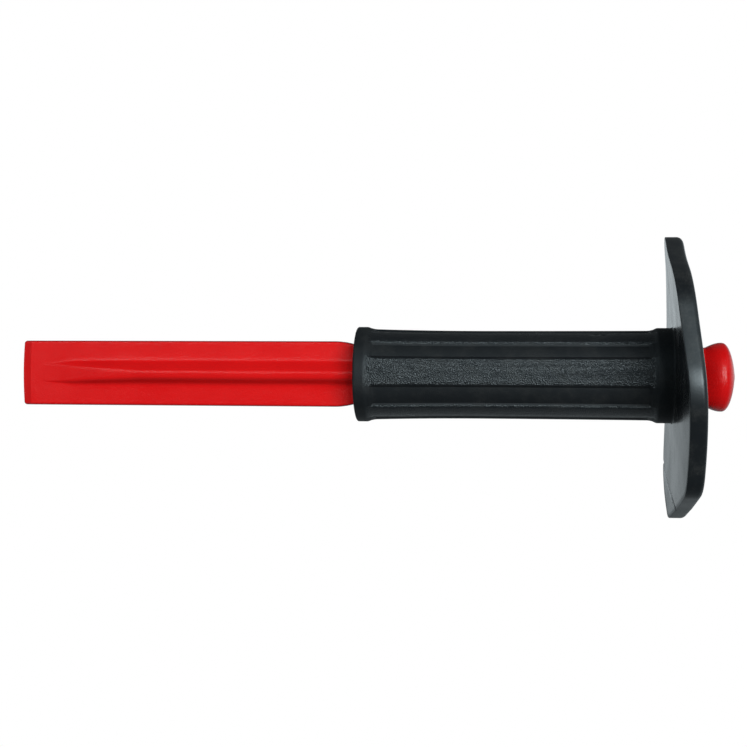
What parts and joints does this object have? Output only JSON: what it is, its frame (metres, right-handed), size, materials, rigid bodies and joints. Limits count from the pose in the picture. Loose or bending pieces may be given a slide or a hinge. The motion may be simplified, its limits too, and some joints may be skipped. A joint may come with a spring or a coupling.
{
  "type": "cold chisel",
  "caption": "Flat cold chisel with a ribbed blade and domed striking head, in a fluted soft grip with a rounded octagonal hand-guard flange.",
  "frame": {"origin": "centre of the small flat at the crown of the striking head", "axes": "+X out of the struck face along the tool, so the cutting edge is at x = -0.25; blade width along Z; blade thickness along Y"},
  "size_m": [0.25, 0.0947, 0.0957],
  "materials": {
    "red_enamel": "gloss red enamel with a fine orange peel over forged steel",
    "black_rubber": "black soft moulding, pebbled grain on the sleeve and smoother on the collars and flange"
  },
  "bodies": {
    "root": {"chisel_bar": "red_enamel", "hand_guard": "black_rubber"}
  },
  "joints": []
}
